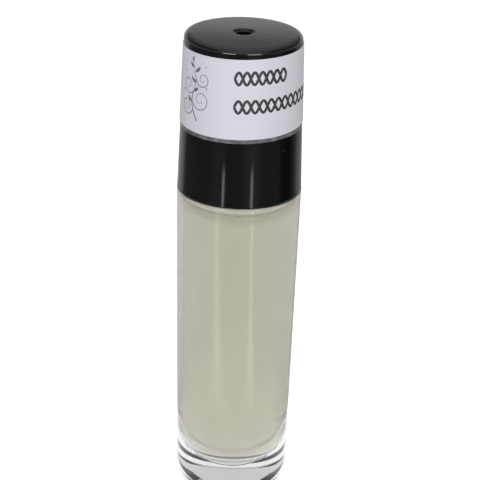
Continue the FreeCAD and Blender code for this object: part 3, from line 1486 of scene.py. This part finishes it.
@dataclass(frozen=True)
class PaleFloor:
    """A floor that glows a little to those rays that see a background.

    Rays that come through the bottle see it brighter close by and darker to the sides.
    """

    size: float = 6.0
    colour: RGB = (0.62, 0.62, 0.62)
    glow: float = 0.66
    near_glow: float = 0.25
    near_reach: Span = (8.0, 85.0)
    near_scale: RGB = (4.0, 1.0, 1.0)
    side_loss: float = 0.1
    side_reach: Span = (8.0, 50.0)

    def build(self) -> None:
        """Lay the floor."""
        Bench.clear_selection()
        bpy.ops.mesh.primitive_plane_add(size=self.size)
        floor = bpy.context.active_object
        floor.name = "floor"
        made, nodes = new_material("pale_floor")
        camera, glossy, through = (
            nodes.get("ShaderNodeLightPath", output=rays.value) for rays in Rays
        )
        seen = camera.largest(glossy).largest(through)
        near = 1.0 - nodes.length(nodes.place(self.near_scale)).between(*self.near_reach)
        side = nodes.axes(nodes.place())[0].math("ABSOLUTE").between(*self.side_reach)
        strength = seen * self.glow
        strength = strength + through * (near * self.near_glow - side * self.side_loss)
        matt = nodes.add("ShaderNodeBsdfDiffuse", inputs={"Color": self.colour})
        glow = nodes.add("ShaderNodeEmission", inputs={"Color": WHITE, "Strength": strength})
        both = {0: matt.outputs[0], 1: glow.outputs[0]}
        nodes.surface(nodes.add("ShaderNodeAddShader", inputs=both))
        floor.data.materials.append(made)


@dataclass(frozen=True)
class Sector:
    """A lighter or darker sector of the card, between two angles from the front."""

    low: float
    high: float
    glow: float
    fade: float = 8.0

    def light(self, angle: Value) -> Value:
        """The sector's light at an angle.

        Args:
            angle: the angle from the front, in degrees.

        Returns:
            The light that it adds.
        """
        inside = angle.between(self.low - self.fade, self.low + self.fade)
        inside = inside - angle.between(self.high - self.fade, self.high + self.fade)
        return inside * self.glow


@dataclass(frozen=True)
class Streak:
    """A soft bright line on the card, in millimetres."""

    slope: float
    offset: float
    half_width: float
    glow: float

    def light(self, across: Value, back: Value, share: Value) -> Value:
        """The line's light at a place.

        Args:
            across: the place to the right.
            back: the place to the back.
            share: the share of the light that is left there.

        Returns:
            The light that it adds.
        """
        line = across + back * self.slope - self.offset
        shape = line.between(-self.half_width, 0.0) - line.between(0.0, self.half_width)
        return shape * share * self.glow


@dataclass(frozen=True)
class DarkCard:
    """A dark card that lies round the bottle, seen only in its gloss."""

    reach: Span = (23.0, 700.0)
    sweep: float = 330.0
    lift: float = 0.5
    glow: float = 0.13
    sectors: tuple[Sector, ...] = (
        Sector(-190.0, -122.0, 0.42),
        Sector(-50.0, -30.0, 0.10),
        Sector(8.0, 36.0, 0.15),
        Sector(78.0, 108.0, -0.12),
        Sector(122.0, 190.0, 0.26),
    )
    streaks: tuple[Streak, ...] = (
        Streak(-0.938, 16.8, 20.0, 1.4),
        Streak(0.392, 8.2, 9.0, 1.8),
    )
    streak_start: Span = (20.0, 50.0)
    streak_end: Span = (125.0, 150.0)
    lathe: Lathe = Lathe(steps=36)

    def build(self) -> None:
        """Lay the card, open at the back."""
        outline = [Corner(reach, self.lift) for reach in self.reach]
        start = -FULL_TURN / 4 - self.sweep / 2
        card = self.lathe.turn("dark_card", outline, False, start, self.sweep)
        made, nodes = new_material("grey_card")
        light = nodes.add("ShaderNodeEmission", inputs={"Color": self.light(nodes)})
        nodes.surface(light)
        card.data.materials.append(made)
        for sight in (Sight.CAMERA, Sight.DIFFUSE, Sight.TRANSMISSION, Sight.SHADOW):
            sight.hide(card)

    def light(self, nodes: Nodes) -> Value:
        """The card's light: its own glow, its sectors and the streaks in front.

        Args:
            nodes: the builder of the card's nodes.

        Returns:
            The light at each place.
        """
        place = nodes.place()
        across, back, _ = nodes.axes(place)
        front = back * -1.0
        angle = across.math("ARCTAN2", front) * math.degrees(1.0)
        grey = sum((sector.light(angle) for sector in self.sectors), self.glow)
        share = 1.0 - nodes.length(place).between(*self.streak_end)
        share = share * front.between(*self.streak_start)
        return sum((streak.light(across, back, share) for streak in self.streaks), grey)


@dataclass(frozen=True)
class Lamp:
    """Rectangular lamps of an even radiance, one at each of some angles from the front.

    Lengths are in metres, and a white card under lamp light has a radiance of about 1.
    """

    name: str
    angles: tuple[float, ...]
    distance: float
    height: float
    aim: float
    size: Span
    radiance: float
    unseen_in: tuple[Sight, ...] = ()

    def build(self) -> None:
        """Set a lamp at each angle, facing the bottle's axis."""
        for angle in self.angles:
            side = "left" if angle < 0 else "right"
            self.build_one(f"{self.name}_{side}" if len(self.angles) > 1 else self.name, angle)

    def build_one(self, name: str, angle: float) -> None:
        """Set one lamp, which neither the camera nor the glass shows.

        Args:
            name: the lamp's name.
            angle: its angle from the front.
        """
        width, height = self.size
        lamp = bpy.data.lights.new(name, "AREA")
        lamp.shape = "RECTANGLE"
        lamp.size = width
        lamp.size_y = height
        lamp.energy = self.radiance * math.pi * width * height
        obj = bpy.data.objects.new(name, lamp)
        bpy.context.scene.collection.objects.link(obj)
        turn = math.radians(angle)
        across, back = math.sin(turn) * self.distance, -math.cos(turn) * self.distance
        place = Vector((across, back, self.height))
        obj.location = place
        facing = Vector((0.0, 0.0, self.aim)) - place
        obj.rotation_euler = facing.to_track_quat("-Z", "Y").to_euler()
        for sight in (Sight.CAMERA, Sight.TRANSMISSION, *self.unseen_in):
            sight.hide(obj)


@dataclass(frozen=True)
class Surroundings:
    """Pale surroundings with a dark band above the horizon and a bright sky in front.

    Spans are of the direction's parts: its rise, its reach to a side or its reach forward.
    """

    horizon: float = 0.78
    band: RGB = (0.25, 0.25, 0.255)
    band_start: Span = (0.25, 0.31)
    band_end: Span = (0.3, 1.2)
    side_shade: float = 0.5
    side_span: Span = (0.4, 0.85)
    front_low: float = 0.2
    front_sky: float = 1.3
    front_rise: Span = (0.2, 0.38)
    front_span: Span = (0.4, 0.95)
    through_sky: float = 0.8
    camera_sky: float = 1.0

    def build(self) -> None:
        """Make the world."""
        world = bpy.data.worlds.new("surroundings")
        bpy.context.scene.world = world
        world.use_nodes = True
        nodes = Nodes(world.node_tree)
        across, back, up = nodes.axes(nodes.get("ShaderNodeTexCoord", output="Generated"))
        overhead = nodes.mix(up.between(*self.band_end), self.band, WHITE)
        colour = nodes.mix(up.between(*self.band_start), (self.horizon,) * 3, overhead)
        sides = across.math("ABSOLUTE").between(*self.side_span)
        colour = nodes.mix(sides * self.side_shade, colour, BLACK)
        rise = up.between(*self.front_rise)
        front = nodes.mix(rise, (self.front_low,) * 3, (self.front_sky,) * 3)
        colour = nodes.mix((back * -1.0).between(*self.front_span), colour, front)
        skies = {Rays.TRANSMISSION: self.through_sky, Rays.CAMERA: self.camera_sky}
        for rays, sky in skies.items():
            seen = nodes.get("ShaderNodeLightPath", output=rays.value)
            colour = nodes.mix(seen, colour, (sky,) * 3)
        background = nodes.add("ShaderNodeBackground", inputs={"Color": colour, "Strength": 1.0})
        nodes.add("ShaderNodeOutputWorld", inputs={"Surface": background.outputs[0]})


@dataclass(frozen=True)
class PhotoCamera:
    """The camera at the photograph's angle, distance and lean."""

    sensor: float = 36.0
    focal_pixels: float = 1012.48
    frame_pixels: float = 480.0
    elevation: float = 28.02
    distance: float = 173.46
    target: RGB = (0.42, 0.0, 49.28)
    roll: float = 1.8236
    clip_start: float = 10.0
    clip_end: float = 20000.0

    def build(self) -> None:
        """Set the camera up and make it the scene's."""
        data = bpy.data.cameras.new("camera")
        data.sensor_width = self.sensor
        data.lens = self.focal_pixels / self.frame_pixels * self.sensor
        data.clip_start = self.clip_start * MM
        data.clip_end = self.clip_end * MM
        camera = bpy.data.objects.new("camera", data)
        bpy.context.scene.collection.objects.link(camera)
        lift = math.radians(self.elevation)
        back = Vector((0.0, -math.cos(lift), math.sin(lift)))
        camera.location = (Vector(self.target) + back * self.distance) * MM
        facing = (-back).to_track_quat("-Z", "Y").to_matrix()
        lean = Matrix.Rotation(math.radians(self.roll), 3, "Z")
        camera.rotation_euler = (facing @ lean).to_euler()
        bpy.context.scene.camera = camera


@dataclass(frozen=True)
class Studio:
    """Floor, card, lamps, surroundings and the camera.

    Two broad lamps light the bottle, two make the bright rim of the cap, and two the streaks
    down its side.
    """

    lamps: tuple[Lamp, ...] = (
        Lamp(
            "top_lamp",
            angles=(0.0,),
            distance=0.1,
            height=0.55,
            aim=0.05,
            size=(0.5, 0.5),
            radiance=0.9,
            unseen_in=(Sight.GLOSSY,),
        ),
        Lamp(
            "fill_lamp",
            angles=(0.0,),
            distance=0.5,
            height=0.2,
            aim=0.07,
            size=(0.36, 0.36),
            radiance=1.62,
            unseen_in=(Sight.GLOSSY,),
        ),
        Lamp(
            "rim_lamp",
            angles=(-25.0, 21.0),
            distance=0.35,
            height=0.0855,
            aim=0.0855,
            size=(0.15, 0.06),
            radiance=11.0,
            unseen_in=(Sight.DIFFUSE,),
        ),
        Lamp(
            "strip_lamp",
            angles=(-27.5, 21.8),
            distance=0.11,
            height=0.025,
            aim=0.025,
            size=(0.008, 0.012),
            radiance=2.8,
        ),
    )

    def build(self) -> None:
        """Set the whole stage."""
        bpy.context.scene.view_settings.view_transform = "Standard"
        for item in (PaleFloor(), DarkCard(), *self.lamps, Surroundings(), PhotoCamera()):
            item.build()


def main() -> None:
    """Build every sub-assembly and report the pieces."""
    logging.basicConfig(level=logging.INFO, format="%(name)s: %(message)s")
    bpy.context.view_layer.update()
    cap = ScrewCap()
    for assembly in (GlassBottle(), cap, WrappedLabel(cap), RollerFitment()):
        assembly.dress()
        for piece in assembly.pieces:
            LOG.info("%s: %d faces", piece.name, len(piece.data.polygons))
    Studio().build()


if __name__ == "__main__":
    main()
